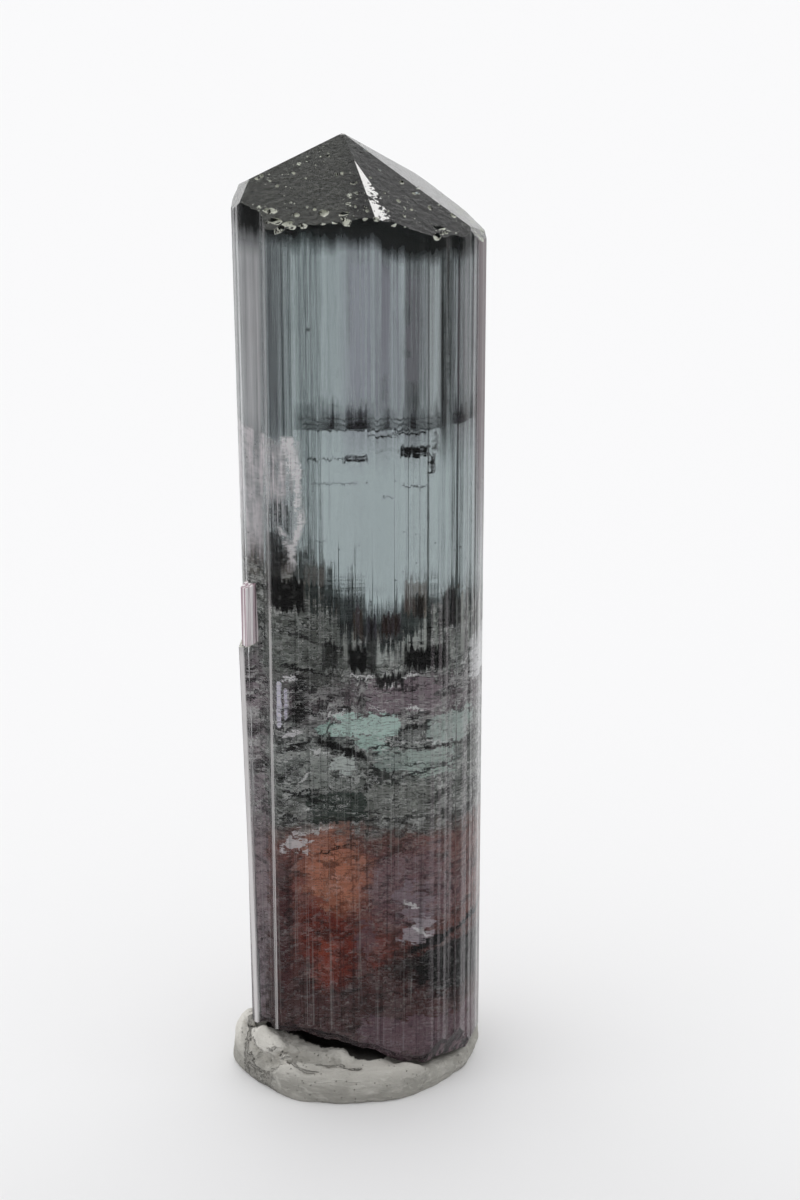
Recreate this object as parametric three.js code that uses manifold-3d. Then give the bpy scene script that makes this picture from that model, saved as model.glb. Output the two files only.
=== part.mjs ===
// A tourmaline crystal standing in a pressed lump of grey mounting putty.
// Millimetres, +Z up. The crystal's long axis is vertical, its broad face looks along -Y,
// and the lump's flat underside is z = 0. The group is centred over the origin at the end.

import * as THREE from "three";
import { mergeVertices } from "three/addons/utils/BufferGeometryUtils.js";
import Module from "manifold-3d";

const wasm = await Module();
wasm.setup();

// Driving dimensions
const APEX = new THREE.Vector3(-1.3, 1.0, 76.8); // the crystal's point
const STRAIGHT_EDGE_X = 9.4; // the right-hand edge is plumb, and the rest tapers towards it
const TAPER = 0.03; // share of the width lost from the point down to the foot
const EDGE_CHAMFER = 0.12; // flat worn on each corner of the cross-section
const STEP_RUN = 0.05; // width of the little riser between two striae
const LUMP_HEIGHT = 2.9; // usual thickness of the lump beside the crystal
const LIP_RISE = 2.5; // how much higher the putty is pressed up the crystal's left side
const RIGHT_DROP = 1.5; // how much lower it is under the crystal's right side
const SOCKET_GAP = 0.3; // clearance between the crystal and the putty pressed round it

// The prism's cross-section at the tip, anticlockwise from above: each corner, where it stands
// at z = 0 if it doesn't follow the taper, then the number of growth striae on the face that
// follows it and how far they stand in or out.
const PRISM_FACES = [
  { corner: [-6.8, -8.0], foot: [-7.0, -7.85], striae: 2, relief: 0.1 },
  { corner: [-5.9, -8.15], foot: [-6.0, -7.95], striae: 5, relief: 0.1 },
  { corner: [-4.0, -8.05], striae: 8, relief: 0.07 },
  { corner: [-1.0, -8.1], striae: 4, relief: 0.08 },
  { corner: [0.4, -7.95], striae: 4, relief: 0.08 },
  { corner: [1.75, -8.1], striae: 4, relief: 0.08 },
  { corner: [3.15, -7.9], striae: 2, relief: 0.1 },
  { corner: [3.9, -8.05], striae: 4, relief: 0.08 },
  { corner: [5.3, -7.9], striae: 2, relief: 0.16 },
  { corner: [6.3, -7.55], striae: 1, relief: 0.05 },
  { corner: [6.7, -6.95], striae: 2, relief: 0.12 },
  { corner: [7.7, -6.55], striae: 2, relief: 0.14 },
  { corner: [8.4, -5.3], striae: 2, relief: 0.14 },
  { corner: [9.05, -3.9], striae: 4, relief: 0.12 },
  { corner: [9.5, -1.4], striae: 4, relief: 0.1 },
  { corner: [9.1, 0.9], striae: 7, relief: 0.12 },
  { corner: [8.0, 5.0], striae: 6, relief: 0.14 },
  { corner: [5.2, 7.8], striae: 7, relief: 0.12 },
  { corner: [1.0, 8.9], striae: 6, relief: 0.12 },
  { corner: [-3.0, 8.2], striae: 7, relief: 0.12 },
  { corner: [-6.6, 5.6], striae: 6, relief: 0.12 },
  { corner: [-9.0, 2.6], foot: [-8.3, 2.5], striae: 4, relief: 0.12 },
  { corner: [-9.7, 0.2], foot: [-8.95, 0.2], striae: 4, relief: 0.1 },
  { corner: [-9.6, -2.6], foot: [-8.85, -2.6], striae: 3, relief: 0.12 },
  { corner: [-8.9, -5.0], foot: [-8.4, -5.1], striae: 3, relief: 0.12 },
  { corner: [-7.2, -6.2], foot: [-7.4, -6.2], striae: 2, relief: 0.08 },
];

// Faces of the point: compass angle of the way each faces (0 is -Y, 90 is +X), its slope below
// level, and a point on it. The first five meet at the apex.
const POINT_FACES = [
  { facing: -12, slope: 27.3, through: APEX },
  { facing: 46, slope: 27.3, through: APEX },
  { facing: 101.5, slope: 35, through: APEX },
  { facing: 155, slope: 28.5, through: APEX },
  { facing: -113, slope: 28.5, through: APEX },
  // the narrow etched face that widens down the front ridge
  { facing: 38, slope: 26.6, through: new THREE.Vector3(-0.48, -1.68, 75.54) },
  // the worn corners on the left and right shoulders
  { facing: -88, slope: 60, through: new THREE.Vector3(-8.8, 0, 73.25) },
  { facing: 84, slope: 62, through: new THREE.Vector3(9.15, -1, 70.1) },
  // the blunted tip
  { facing: 0, slope: 0, through: new THREE.Vector3(-1.3, 1.0, 76.68) },
];

// Pits on the point's two front faces that show from a step away: place in plan and size.
const LARGE_PITS = [
  { at: [-6.1, -7.3], size: [0.55, 0.5, 0.3] },
  { at: [-5.2, -7.7], size: [0.6, 0.35, 0.3] },
  { at: [-4.6, -6.9], size: [0.4, 0.3, 0.2] },
  { at: [-6.5, -6.2], size: [0.35, 0.6, 0.35] },
  { at: [-2.6, -7.0], size: [0.45, 0.7, 0.2] },
  { at: [-1.1, -7.3], size: [0.25, 0.5, 0.2] },
  { at: [-0.3, -4.3], size: [0.2, 0.35, 0.15] },
  { at: [-1.7, -3.2], size: [0.18, 0.22, 0.15] },
  { at: [-8.4, -2.6], size: [0.3, 0.2, 0.15] },
  { at: [3.1, -2.6], size: [0.25, 0.35, 0.2] },
  { at: [5.2, -4.5], size: [0.2, 0.5, 0.15] },
  { at: [6.9, -4.4], size: [0.3, 0.4, 0.2] },
  { at: [5.9, -6.6], size: [0.35, 0.65, 0.25] },
];
const SMALL_PITS = { count: 34, least: 0.1, most: 0.22 };

// Chips knocked out of the sharp edge between the point and the broad front face.
const SHOULDER_CHIPS = { count: 13, fromX: -6.6, toX: 7.4, y: -8.15, least: 0.35, most: 0.75 };

// Height of the broken lower end along the front face, left to right.
const BREAK_PROFILE = [
  [-11, 5.2],
  [-7.3, 5.4],
  [-4.2, 5.3],
  [-3.1, 4.7],
  [-1.1, 4.3],
  [-0.3, 3.7],
  [1.5, 3.4],
  [2.3, 2.8],
  [4.6, 2.4],
  [8.0, 2.2],
  [9.6, 0.9],
  [11, 0.9],
];
const BREAK_CELL = 1.0; // size of the broken surface's facets
const BREAK_ROUGHNESS = 0.22;
// the chips broken off the foot's right front corner and right side
const FOOT_CHIPS = [
  { facing: 40, slope: 108, through: new THREE.Vector3(6.3, -7.4, 4.4) },
  { facing: 74, slope: 112, through: new THREE.Vector3(9.0, -3.7, 2.9) },
];

// A short side crystal and a growth rib on the left, both grown into the main crystal.
const SIDE_CRYSTAL = { at: [-8.6, -5.1], radius: 0.7, top: 43.3, turn: 36, foot: 1, lean: 0.3 };
const LEFT_RIB = { at: [-8.6, -4.9], radius: 1.0, top: 38.5, turn: 50, foot: 0.6, lean: 0.45 };

// The lump's outline at its widest, anticlockwise from the front left, as pressed by fingers.
const LUMP_OUTLINE = [
  [-10.7, -3.2],
  [-9.7, -5.6],
  [-7.9, -7.8],
  [-5.6, -9.75],
  [-2.9, -10.5],
  [0.7, -10.25],
  [4.1, -9.15],
  [6.6, -6.7],
  [8.6, -3.7],
  [9.5, -0.9],
  [9.6, 2.7],
  [8.3, 6.4],
  [5.1, 9.1],
  [1.0, 9.8],
  [-3.5, 9.0],
  [-6.8, 6.8],
  [-8.8, 4.0],
  [-9.6, 1.5],
  [-10.3, -0.9],
];

const CRYSTAL_COLOUR = 0x6a7676;
const PUTTY_COLOUR = 0x9d9d96;

// Small pseudo-random generator, so that every run gives the same shape.
function seeded(seed) {
  let state = seed;
  return () => {
    state = (state + 0x6d2b79f5) | 0;
    let t = Math.imul(state ^ (state >>> 15), 1 | state);
    t = (t + Math.imul(t ^ (t >>> 7), 61 | t)) ^ t;
    return ((t ^ (t >>> 14)) >>> 0) / 4294967296;
  };
}

// A closed three.js geometry as a manifold-3d solid.
function solidOf(geometry) {
  const bare = geometry.index ? geometry.toNonIndexed() : geometry.clone();
  for (const name of Object.keys(bare.attributes)) {
    if (name !== "position") bare.deleteAttribute(name);
  }
  const merged = mergeVertices(bare, 1e-4);
  return new wasm.Manifold(
    new wasm.Mesh({
      numProp: 3,
      vertProperties: merged.attributes.position.array,
      triVerts: new Uint32Array(merged.index.array),
    }),
  );
}

// A manifold-3d solid as a three.js geometry with flat-shaded faces.
function geometryOf(solid) {
  const mesh = solid.getMesh();
  const indexed = new THREE.BufferGeometry();
  indexed.setAttribute("position", new THREE.BufferAttribute(mesh.vertProperties, 3));
  indexed.setIndex(new THREE.BufferAttribute(mesh.triVerts, 1));
  const flat = indexed.toNonIndexed();
  flat.computeVertexNormals();
  return flat;
}

// Unit vector in plan for a compass angle, where 0 faces -Y and 90 faces +X.
function heading(degrees) {
  const angle = THREE.MathUtils.degToRad(degrees);
  return new THREE.Vector3(Math.sin(angle), -Math.cos(angle), 0);
}

// A corner of the prism at the level of the tip.
function tipCorner({ corner: [x, y] }) {
  return new THREE.Vector2(x, y);
}

// The same corner at z = 0.
function footCorner({ corner: [x, y], foot }) {
  if (foot) return new THREE.Vector2(...foot);
  return new THREE.Vector2(STRAIGHT_EDGE_X + (x - STRAIGHT_EDGE_X) * (1 - TAPER), y * (1 - TAPER));
}

// Cross-section of the prism at one level, pushed out by `grow`, with its striae as small steps.
function prismSection(cornerAt, grow) {
  const random = seeded(11);
  const points = [];
  PRISM_FACES.forEach((face, index) => {
    const start = cornerAt(face);
    const end = cornerAt(PRISM_FACES[(index + 1) % PRISM_FACES.length]);
    const along = end.clone().sub(start);
    const length = along.length();
    along.normalize();
    const outward = new THREE.Vector2(along.y, -along.x);
    const place = (run, rise) =>
      points.push(start.clone().addScaledVector(along, run).addScaledVector(outward, rise + grow));

    const widths = Array.from({ length: face.striae }, () => 0.4 + random());
    const total = widths.reduce((sum, width) => sum + width, 0);
    let run = EDGE_CHAMFER;
    for (const width of widths) {
      const stria = ((length - 2 * EDGE_CHAMFER) * width) / total;
      const rise = (random() - 0.5) * face.relief;
      const tilt = (random() - 0.5) * face.relief * 0.8;
      place(run + STEP_RUN / 2, rise - tilt / 2);
      place(run + stria - STEP_RUN / 2, rise + tilt / 2);
      run += stria;
    }
  });
  return points;
}

// The striated prism: extruded up from the foot's section, and drawn out to the tip's.
function prism(grow = 0) {
  const foot = prismSection(footCorner, grow);
  const tip = prismSection(tipCorner, grow);
  const geometry = new THREE.ExtrudeGeometry(new THREE.Shape(foot), {
    depth: APEX.z,
    bevelEnabled: false,
  });
  const position = geometry.attributes.position;
  for (let i = 0; i < position.count; i++) {
    if (position.getZ(i) === 0) continue;
    const here = new THREE.Vector2(position.getX(i), position.getY(i));
    const index = foot.findIndex((point) => point.distanceTo(here) < 1e-4);
    position.setXY(i, tip[index].x, tip[index].y);
  }
  return solidOf(geometry);
}

// A big block that fills everything outside one flat face.
function blockBeyond({ facing, slope, through }) {
  const size = 60;
  const geometry = new THREE.BoxGeometry(size, size, size);
  geometry.translate(0, 0, size / 2);
  const normal = heading(facing)
    .multiplyScalar(Math.sin(THREE.MathUtils.degToRad(slope)))
    .setZ(Math.cos(THREE.MathUtils.degToRad(slope)));
  geometry.applyQuaternion(
    new THREE.Quaternion().setFromUnitVectors(new THREE.Vector3(0, 0, 1), normal),
  );
  geometry.translate(through.x, through.y, through.z);
  return solidOf(geometry);
}

// Height of the point's surface over a place in plan.
function pointHeight(x, y) {
  return Math.min(
    ...POINT_FACES.map(({ facing, slope, through }) => {
      const run = heading(facing).dot(new THREE.Vector3(x - through.x, y - through.y, 0));
      return through.z - Math.tan(THREE.MathUtils.degToRad(slope)) * run;
    }),
  );
}

// A rough little lump, used as the hollow of a pit or a chip.
function pebble(radii, centre, random) {
  const geometry = mergeVertices(barePositions(new THREE.IcosahedronGeometry(1, 0)));
  const position = geometry.attributes.position;
  for (let i = 0; i < position.count; i++) {
    const swell = 0.8 + 0.4 * random();
    position.setXYZ(
      i,
      position.getX(i) * radii[0] * swell,
      position.getY(i) * radii[1] * swell,
      position.getZ(i) * radii[2] * swell,
    );
  }
  geometry.rotateZ(random() * Math.PI);
  geometry.translate(...centre);
  return solidOf(geometry);
}

function barePositions(geometry) {
  geometry.deleteAttribute("normal");
  geometry.deleteAttribute("uv");
  return geometry;
}

// All pits on the point and chips along its front edge, as one solid to cut away.
function pitsAndChips() {
  const random = seeded(5);
  const hollows = LARGE_PITS.map(({ at: [x, y], size }) =>
    pebble(size, [x, y, pointHeight(x, y)], random),
  );
  for (let i = 0; i < SMALL_PITS.count; i++) {
    const x = -8.2 + 16 * random();
    const y = -7.4 + 8 * random();
    const radius = THREE.MathUtils.lerp(SMALL_PITS.least, SMALL_PITS.most, random());
    hollows.push(pebble([radius, radius * 1.4, radius], [x, y, pointHeight(x, y)], random));
  }
  for (let i = 0; i < SHOULDER_CHIPS.count; i++) {
    const share = (i + 0.2 + 0.6 * random()) / SHOULDER_CHIPS.count;
    const x = THREE.MathUtils.lerp(SHOULDER_CHIPS.fromX, SHOULDER_CHIPS.toX, share);
    const y = SHOULDER_CHIPS.y + Math.max(0, x - 5.3) * 0.6;
    const radius = THREE.MathUtils.lerp(SHOULDER_CHIPS.least, SHOULDER_CHIPS.most, random());
    const centre = [x, y - 0.12, pointHeight(x, y) + 0.1];
    hollows.push(pebble([radius * 1.3, 0.34, radius * 0.7], centre, random));
  }
  return wasm.Manifold.union(hollows);
}

// Height of the broken end: the profile along X, falling a little towards the back.
function breakHeight(x, y) {
  const after = BREAK_PROFILE.findIndex(([edge]) => edge > x);
  const upper = after < 0 ? BREAK_PROFILE.length - 1 : Math.max(after, 1);
  const [x0, z0] = BREAK_PROFILE[upper - 1];
  const [x1, z1] = BREAK_PROFILE[upper];
  const front = THREE.MathUtils.mapLinear(x, x0, x1, z0, z1);
  const behind = THREE.MathUtils.clamp((y + 8) / 16, 0, 1);
  return THREE.MathUtils.lerp(front, 2.3 + 0.4 * Math.sin(0.7 * x + 1), behind);
}

// Everything below the broken end, as one solid to cut away; `lower` drops its top.
function belowBreak(lower = 0) {
  const random = seeded(23);
  const cells = Math.round(24 / BREAK_CELL);
  const geometry = new THREE.BoxGeometry(24, 24, 12, cells, cells, 1);
  const position = geometry.attributes.position;
  const roughness = new Map();
  for (let i = 0; i < position.count; i++) {
    const x = position.getX(i);
    const y = position.getY(i);
    const key = `${x.toFixed(2)} ${y.toFixed(2)}`;
    if (!roughness.has(key)) roughness.set(key, (random() - 0.5) * 2 * BREAK_ROUGHNESS);
    const top = position.getZ(i) > 0;
    position.setZ(i, top ? breakHeight(x, y) + roughness.get(key) - lower : -12);
  }
  return solidOf(geometry);
}

// A six-sided column on the side of the main crystal, broken off at the top and leaning to the
// right on its way down to z = 0.
function sideColumn({ at: [x, y], radius, top, turn, foot, lean }) {
  const geometry = new THREE.CylinderGeometry(radius, radius * foot, top, 6, 1);
  geometry.rotateX(Math.PI / 2);
  geometry.rotateZ(THREE.MathUtils.degToRad(turn));
  geometry.translate(x, y, top / 2);
  geometry.applyMatrix4(new THREE.Matrix4().makeShear(0, 0, 0, 0, -lean / top, 0));
  geometry.translate(lean, 0, 0);
  const breakFace = { facing: -70, slope: 24, through: new THREE.Vector3(x, y, top - 0.3) };
  return solidOf(geometry).subtract(blockBeyond(breakFace));
}

// The whole crystal: prism, side growths, point, pits and broken end.
function crystal() {
  let body = prism();
  for (const face of POINT_FACES) {
    body = body.subtract(blockBeyond(face));
  }
  body = body.add(sideColumn(SIDE_CRYSTAL)).add(sideColumn(LEFT_RIB));
  for (const chip of FOOT_CHIPS) {
    body = body.subtract(blockBeyond(chip));
  }
  return body.subtract(pitsAndChips()).subtract(belowBreak());
}

// The hollow that the crystal's foot presses into the putty.
function socket() {
  const wider = (column) => ({ ...column, radius: column.radius + SOCKET_GAP });
  return prism(SOCKET_GAP)
    .add(sideColumn(wider(SIDE_CRYSTAL)))
    .add(sideColumn(wider(LEFT_RIB)))
    .subtract(belowBreak(SOCKET_GAP * 1.3));
}

// Height of the lump's top: level, rising to a lip that hugs the crystal's left side.
function lumpTop(x, y) {
  const { smoothstep } = THREE.MathUtils;
  const lip = LIP_RISE * smoothstep(-x, 5, 7.4) * (1 - 0.95 * smoothstep(y, -4.5, 0.8));
  const waves = 0.12 * Math.sin(1.1 * x + 0.6 * y) + 0.08 * Math.sin(2.3 * y - 1.7 * x + 1);
  return LUMP_HEIGHT + lip - RIGHT_DROP * smoothstep(x, 6.6, 9.2) + waves;
}

// The putty lump: rings from the middle of the top, over the rounded rim, to the flat foot.
function lump() {
  const outline = new THREE.CatmullRomCurve3(
    LUMP_OUTLINE.map(([x, y]) => new THREE.Vector3(x, y, 0)),
    true,
  );
  const spokes = 60;
  const rings = [0.22, 0.44, 0.62, 0.76, 0.86, 0.92, 0.965, 0.99, 1.0, 0.995, 0.97];
  const heights = [1, 1, 1, 1, 0.99, 0.95, 0.84, 0.66, 0.38, 0.14, 0];
  const vertices = [0, 0, lumpTop(0, 0)];
  rings.forEach((share, ring) => {
    for (let spoke = 0; spoke < spokes; spoke++) {
      const { x, y } = outline.getPoint(spoke / spokes).multiplyScalar(share);
      vertices.push(x, y, lumpTop(x, y) * heights[ring]);
    }
  });
  vertices.push(0, 0, 0);
  const underside = vertices.length / 3 - 1;
  const corner = (ring, spoke) => 1 + ring * spokes + (spoke % spokes);
  const triangles = [];
  for (let spoke = 0; spoke < spokes; spoke++) {
    triangles.push(0, corner(0, spoke), corner(0, spoke + 1));
    for (let ring = 0; ring < rings.length - 1; ring++) {
      const [a, b] = [corner(ring, spoke), corner(ring, spoke + 1)];
      const [c, d] = [corner(ring + 1, spoke), corner(ring + 1, spoke + 1)];
      triangles.push(a, c, d, a, d, b);
    }
    triangles.push(underside, corner(rings.length - 1, spoke + 1), corner(rings.length - 1, spoke));
  }
  const geometry = new THREE.BufferGeometry();
  geometry.setAttribute("position", new THREE.Float32BufferAttribute(vertices, 3));
  geometry.setIndex(triangles);
  return solidOf(geometry).subtract(socket());
}

function named(name, solid, colour, roughness) {
  const material = new THREE.MeshStandardMaterial({ color: colour, roughness, metalness: 0 });
  const mesh = new THREE.Mesh(geometryOf(solid), material);
  mesh.name = name;
  return mesh;
}

const specimen = new THREE.Group();
specimen.add(named("tourmaline_crystal", crystal(), CRYSTAL_COLOUR, 0.12));
specimen.add(named("mounting_putty", lump(), PUTTY_COLOUR, 0.85));

// Centre the object's footprint over the origin.
const footprint = new THREE.Box3().setFromObject(specimen);
const middle = footprint.getCenter(new THREE.Vector3());
for (const mesh of specimen.children) {
  mesh.position.set(-middle.x, -middle.y, -footprint.min.z);
}

export default specimen;
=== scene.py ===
"""Looks for a tourmaline crystal that stands in a lump of mounting putty.

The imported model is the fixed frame. The crystal keeps its solid and gets a clear, zoned,
striated finish, with the cloudy inclusions that show through it as one piece inside it. The
putty is a finer lump that stands for its plain solid. Run as a script, not installed.
"""

import math
from functools import reduce

import bpy
from bpy.props import FloatProperty, FloatVectorProperty, PointerProperty
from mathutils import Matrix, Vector


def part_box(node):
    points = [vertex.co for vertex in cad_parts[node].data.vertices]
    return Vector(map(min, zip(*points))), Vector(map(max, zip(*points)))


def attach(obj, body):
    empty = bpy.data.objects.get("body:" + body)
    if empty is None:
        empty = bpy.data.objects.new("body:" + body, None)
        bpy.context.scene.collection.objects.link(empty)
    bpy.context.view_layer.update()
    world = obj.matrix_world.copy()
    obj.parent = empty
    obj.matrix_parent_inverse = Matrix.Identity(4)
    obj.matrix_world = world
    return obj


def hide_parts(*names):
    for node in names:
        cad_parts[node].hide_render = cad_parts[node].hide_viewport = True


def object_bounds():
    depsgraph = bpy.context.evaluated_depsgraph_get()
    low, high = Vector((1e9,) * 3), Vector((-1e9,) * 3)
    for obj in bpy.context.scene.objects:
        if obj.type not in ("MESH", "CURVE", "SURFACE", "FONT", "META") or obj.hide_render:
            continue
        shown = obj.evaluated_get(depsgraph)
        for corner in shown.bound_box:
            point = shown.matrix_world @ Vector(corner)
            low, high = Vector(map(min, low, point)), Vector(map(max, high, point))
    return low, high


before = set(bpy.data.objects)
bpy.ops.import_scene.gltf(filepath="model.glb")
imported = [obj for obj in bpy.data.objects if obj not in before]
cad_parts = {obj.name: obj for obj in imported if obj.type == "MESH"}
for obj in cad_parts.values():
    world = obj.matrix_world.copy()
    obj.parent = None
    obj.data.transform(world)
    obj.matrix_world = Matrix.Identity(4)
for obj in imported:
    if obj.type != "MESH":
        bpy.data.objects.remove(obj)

CAD_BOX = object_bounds()
MM = 0.001
MIDDLE = (0.50, 0.36)  # mm, where the crystal's axis stands in plan

# Faces of the point: compass angle (0 faces -Y, 90 faces +X) and slope below level, degrees.
POINT_FACES = [(-12, 27.3), (46, 27.3), (101.5, 35), (155, 28.5), (-113, 28.5), (-88, 60), (84, 62)]
ETCHED_FACE = (38, 26.6)
RIDGE_SIDE = (1.53, 71.9)  # mm, x and z where the etched face's left side ends
RIDGE_LEAN = 0.353  # how far that side runs to the left for each mm up
SIDE_CRYSTAL = (-7.4, 38.6, 43.6)  # mm, the x it lies left of, and its foot and top
FOOT_TOP = 8.0  # mm, sloping faces lower than this belong to the broken foot
UPRIGHT = 0.07  # a face whose normal rises or dips less than this is a side of the prism
ALIKE, MUCH_ALIKE = 0.999, 0.9995  # cosine between the normals of faces that look one way

bl_info = {
    "name": "Tourmaline in Putty",
    "version": (1, 0, 0),
    "blender": (4, 5, 0),
    "location": "3D View > Sidebar > Tourmaline",
    "description": "Dresses a packed tourmaline crystal and its lump of putty",
    "category": "Object",
}


class Value:
    """A shader socket that Python arithmetic adds Math nodes to."""

    def __init__(self, recipe, socket):
        self.recipe = recipe
        self.socket = socket

    def _math(self, operation, *operands, clamp=False):
        settings = {"operation": operation, "use_clamp": clamp}
        return self.recipe.node("ShaderNodeMath", settings, dict(enumerate(operands)))

    def __add__(self, other):
        return self._math("ADD", self, other)

    def __radd__(self, other):
        return self._math("ADD", other, self)

    def __sub__(self, other):
        return self._math("SUBTRACT", self, other)

    def __rsub__(self, other):
        return self._math("SUBTRACT", other, self)

    def __mul__(self, other):
        return self._math("MULTIPLY", self, other)

    def __rmul__(self, other):
        return self._math("MULTIPLY", other, self)

    def __truediv__(self, other):
        return self._math("DIVIDE", self, other)

    def least(self, other):
        return self._math("MINIMUM", self, other)

    def most(self, other):
        return self._math("MAXIMUM", self, other)

    def clamped(self):
        return self._math("ADD", self, 0.0, clamp=True)

    def size(self):
        return self._math("ABSOLUTE", self)

    def step(self, low, high, top=1.0):
        """0 below low, top above high and smooth between; the other way round if low > high."""
        return self.ranged(low, high, 0.0, top, "SMOOTHSTEP")

    def ranged(self, low, high, least, top, kind="LINEAR"):
        """From least at low to top at high, and level beyond them."""
        return self.recipe.node(
            "ShaderNodeMapRange",
            {"interpolation_type": kind, "clamp": True},
            {"Value": self, "From Min": low, "From Max": high, "To Min": least, "To Max": top},
        )


def largest(values):
    """The largest of some values at each place, or 0 where there are none."""
    return reduce(Value.most, values) if values else 0.0


class Recipe:
    """The nodes of one material, or of the world."""

    def __init__(self, name, kind="materials"):
        self.owner = getattr(bpy.data, kind).new(name)
        self.owner.use_nodes = True
        self.tree = self.owner.node_tree
        self.tree.nodes.clear()

    def feed(self, slot, value):
        if isinstance(value, Value):
            self.tree.links.new(value.socket, slot)
        elif isinstance(value, tuple) and len(value) == 3 and slot.type == "RGBA":
            slot.default_value = (*value, 1.0)
        else:
            slot.default_value = value

    def node(self, kind, settings=None, sockets=None, out=0):
        """Adds a node: its settings, then its sockets' values and links. Out None gives them all."""
        node = self.tree.nodes.new(kind)
        for name, value in (settings or {}).items():
            setattr(node, name, value)
        for name, value in (sockets or {}).items():
            self.feed(node.inputs[name], value)
        values = [Value(self, socket) for socket in node.outputs]
        return values if out is None else values[out]

    def place(self):
        """Object coordinates in millimetres."""
        here = self.node("ShaderNodeTexCoord", out=3)
        return self.scaled(here, (1 / MM, 1 / MM, 1 / MM))

    def vector(self, operation, *operands, out=0):
        """Vector arithmetic; a length comes out at 1."""
        settings = {"operation": operation}
        return self.node("ShaderNodeVectorMath", settings, dict(enumerate(operands)), out)

    def scaled(self, vector, scale):
        return self.vector("MULTIPLY", vector, scale)

    def parts(self, vector):
        return self.node("ShaderNodeSeparateXYZ", None, {0: vector}, out=None)

    def noise(self, vector, stretch=(1, 1, 1), detail=3.0, rough=0.55, warp=0.0, seed=0.0):
        return self.node(
            "ShaderNodeTexNoise",
            {"noise_dimensions": "4D"},
            {
                "Vector": self.scaled(vector, stretch),
                "W": seed,
                "Scale": 1.0,
                "Detail": detail,
                "Roughness": rough,
                "Distortion": warp,
            },
        )

    def cells(self, vector, stretch=(1, 1, 1)):
        """Distance from the middle of rounded cells."""
        return self.node(
            "ShaderNodeTexVoronoi", None, {"Vector": self.scaled(vector, stretch), "Scale": 1.0}
        )

    def blocks(self, vector, stretch=(1, 1, 1)):
        """A random level, 0 to 1, for each of many square-cornered blocks in a plane."""
        colour = self.node(
            "ShaderNodeTexVoronoi",
            {"voronoi_dimensions": "2D", "distance": "CHEBYCHEV"},
            {"Vector": self.scaled(vector, stretch), "Scale": 1.0},
            out=1,
        )
        return self.parts(colour)[0]

    def joined(self, x, y, z):
        return self.node("ShaderNodeCombineXYZ", None, {0: x, 1: y, 2: z})

    def blend(self, share, low, high):
        """A colour between two, by a share."""
        return self.node("ShaderNodeMix", {"data_type": "RGBA"}, {0: share, 6: low, 7: high}, out=2)

    def bump(self, height, distance):
        sockets = {"Height": height, "Distance": distance * MM, "Strength": 1.0}
        return self.node("ShaderNodeBump", None, sockets)

    def shader(self, **sockets):
        """A Principled shader; socket names have _ for a space."""
        named = {name.replace("_", " "): value for name, value in sockets.items()}
        return self.node("ShaderNodeBsdfPrincipled", None, named)

    def either(self, share, first, second):
        """One shader where share is 0, and another where it is 1."""
        return self.node("ShaderNodeMixShader", None, {0: share, 1: first, 2: second})

    def ramp(self, value, stops):
        """A colour for each value, straight between the stops."""
        colour = self.node("ShaderNodeValToRGB", None, {0: value})
        elements = colour.socket.node.color_ramp.elements
        while len(elements) < len(stops):
            elements.new(1.0)
        for element, (position, shade) in zip(elements, stops):
            element.position = position
            element.color = (*shade, 1.0)
        return colour

    def finish(self, surface, **volume):
        self.node("ShaderNodeOutputMaterial", None, {"Surface": surface, **volume}, out=None)
        return self.owner


def srgb(red, green, blue):
    """A colour given as 0 to 255 on screen, as the light it stands for."""
    return tuple((channel / 255) ** 2.2 for channel in (red, green, blue))


def clear_glass(recipe, settings, colour, roughness, normal):
    """The clear crystal's surface, with its reflections weakened."""
    return recipe.shader(
        Base_Color=colour,
        Roughness=roughness,
        IOR=settings.ior,
        Specular_Tint=(settings.gloss,) * 3,
        Transmission_Weight=1.0,
        Normal=normal,
    )


def crystal_finish(recipe, settings, surface):
    """A finished material: light fades evenly inside the clear crystal."""
    sockets = {"Color": tuple(settings.tint), "Density": settings.absorption}
    volume = recipe.node("ShaderNodeVolumeAbsorption", None, sockets)
    return recipe.finish(surface, Volume=volume)


def clear_tourmaline(settings):
    """The prism's faces: clear, with fine growth striae along them, and painted highlights along
    their edges.
    """
    recipe = Recipe("Clear striated tourmaline")
    place = recipe.place()
    x, y, z = recipe.parts(place)
    striae = recipe.noise(place, (3.2, 3.2, 0.01), detail=4.0)
    # Painted highlights: bright lines down the front left corner, the left rim and the ribs on the
    # right, where the edges catch the light.
    corner = (x + 6.45).size().step(0.16, 0.06) * y.step(-5.0, -6.0)
    rim = (x + 8.2 + (z - 7.0) * 0.02).size().step(0.3, 0.1) * z.step(39.0, 37.0)
    rib_highlights = striae.step(0.49, 0.56) * x.step(5.4, 5.9) * x.step(9.6, 9.2) * z.step(48.0, 40.0)
    rosy = x.step(7.6, 9.4) * z.step(36.0, 56.0) * striae.step(0.42, 0.58)
    body = recipe.blend(rosy, (1.0, 1.0, 1.0), (0.30, 0.22, 0.24))
    glass = clear_glass(recipe, settings, body, 0.01, recipe.bump(striae, 0.06))
    painted_edge_colour = recipe.blend(x.step(0.0, 1.0), srgb(240, 237, 237), srgb(178, 170, 174))
    right_edge = x.step(8.9, 9.4) * z.step(38.0, 44.0)
    painted_edge_colour = recipe.blend(right_edge, painted_edge_colour, srgb(96, 80, 84))
    # The shader below paints the edge lines: highlights, and a darker pinkish line down the right
    # edge.
    worn = recipe.shader(Base_Color=painted_edge_colour, Roughness=0.5)
    painted_edge_lines = corner * (striae.step(0.35, 0.6) * 0.3 + 0.08) * (0.5 + z.step(45.0, 38.0))
    edge = x.step(9.0, 9.5) * z.step(40.0, 56.0)
    painted_edge_lines = largest([painted_edge_lines, rim * 0.75, edge * 0.75, rib_highlights * 0.18])
    return crystal_finish(recipe, settings, recipe.either(painted_edge_lines, glass, worn))


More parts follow.
